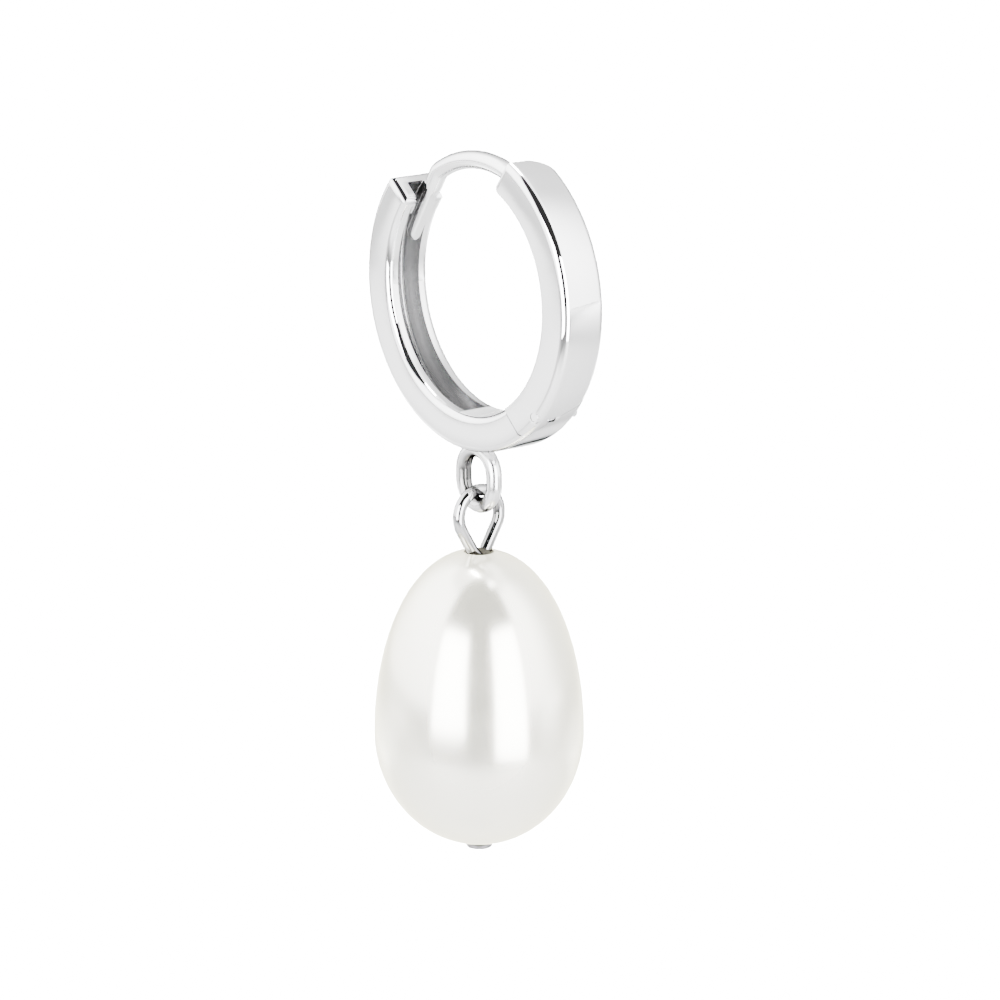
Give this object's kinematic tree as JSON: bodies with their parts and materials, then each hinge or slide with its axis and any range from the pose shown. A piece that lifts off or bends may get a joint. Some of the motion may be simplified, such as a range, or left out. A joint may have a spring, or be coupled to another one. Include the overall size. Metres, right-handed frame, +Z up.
{
  "type": "pearl drop hoop earring",
  "caption": "Small hinged hoop earring in polished silver with a slotted catch and a soldered ring, from which an egg-shaped pearl hangs on a looped head pin.",
  "frame": {"origin": "On the middle line of the ear post at the top of the hoop, where the earring hangs in the ear", "axes": "+Z up along the hanging drop; X in the plane of the hoop, +X towards the solid front half with the hinge; Y along the axis of the hoop"},
  "size_m": [0.013, 0.0088, 0.0297],
  "materials": {
    "polished_silver": "bright mirror polish",
    "wire_silver": "bright drawn wire",
    "nacre": "satin nacre lustre"
  },
  "bodies": {
    "hoop_front": {"front_half": "polished_silver", "hinge_pin": "polished_silver"},
    "hoop_back": {"back_half": "polished_silver"},
    "drop_wire": {"head_pin": "wire_silver"},
    "drop_pearl": {"pearl": "nacre"}
  },
  "joints": [
    {"name": "hoop_hinge", "type": "hinge", "parent": "hoop_front", "child": "hoop_back", "pos_m": [0.00451, 0, -0.00973], "axis": [0, -1, 0], "range_deg": [0, 50]},
    {"name": "drop_swing", "type": "hinge", "parent": "hoop_back", "child": "drop_wire", "pos_m": [-0.0003, 0, -0.01446], "axis": [1, 0, 0], "range_deg": [-45, 45]},
    {"name": "pearl_spin", "type": "hinge", "parent": "drop_wire", "child": "drop_pearl", "pos_m": [-0.0003, 0, -0.0242], "axis": [0, 0, 1], "continuous": true}
  ]
}
